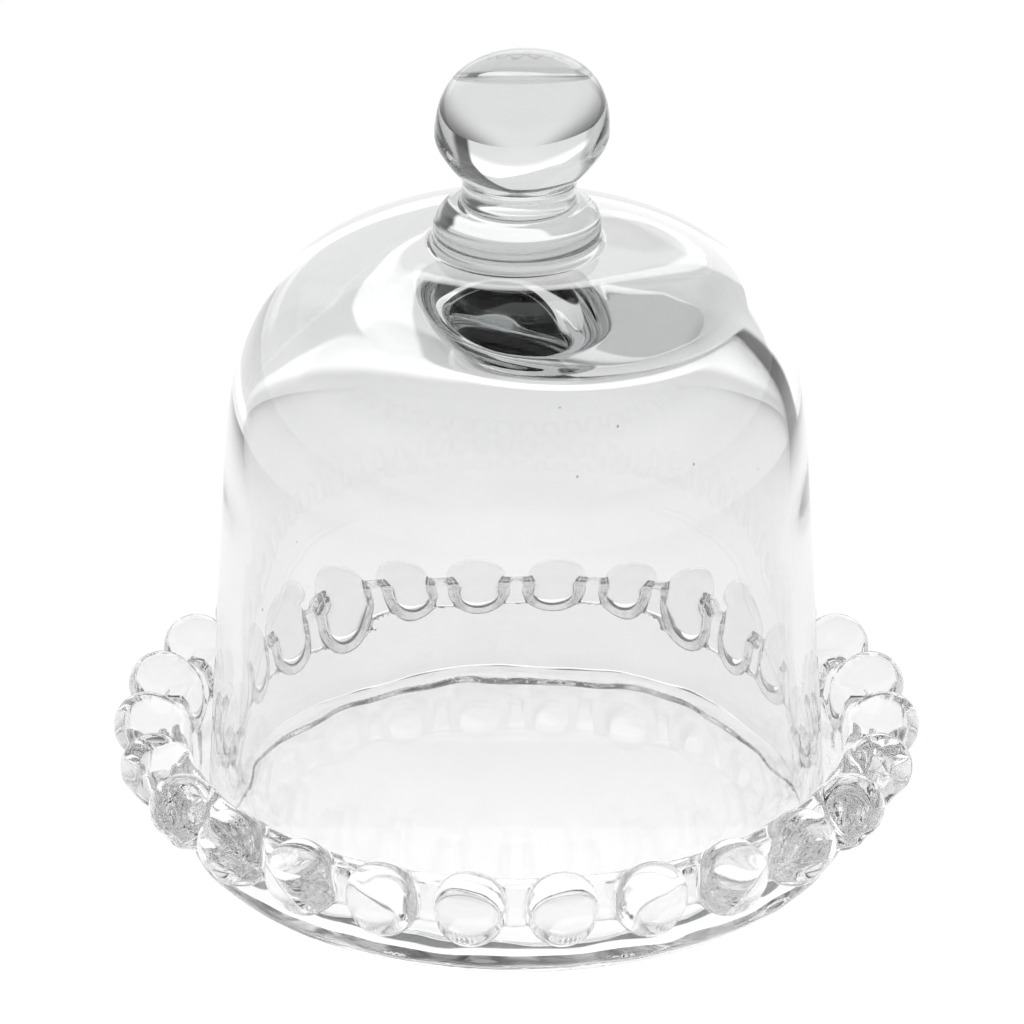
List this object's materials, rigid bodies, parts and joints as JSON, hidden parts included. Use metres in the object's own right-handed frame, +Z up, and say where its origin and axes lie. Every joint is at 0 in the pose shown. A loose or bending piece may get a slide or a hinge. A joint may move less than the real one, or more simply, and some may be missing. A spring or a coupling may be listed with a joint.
{
  "type": "glass cloche with plate",
  "caption": "Clear glass cloche: a hollow bell with a solid knob that stands in the well of a low plate with a beaded rim, to cover and show food.",
  "frame": {"origin": "centre of the plate's foot, on the table", "axes": "+Z up, along the axis that plate, dome and knob share; -Y towards the camera of the picture"},
  "size_m": [0.13, 0.129, 0.1321],
  "materials": {
    "plate_glass": "clear pressed glass, fire-polished",
    "cloche_glass": "clear glass, fire-polished, with a few seeds"
  },
  "bodies": {
    "plate": {"plate": "plate_glass"},
    "cloche": {"dome": "cloche_glass", "knob": "cloche_glass"}
  },
  "joints": [
    {"name": "cloche_lift", "type": "slide", "parent": "plate", "child": "cloche", "axis": [0, 0, 1], "range_m": [0, 0.15]}
  ]
}
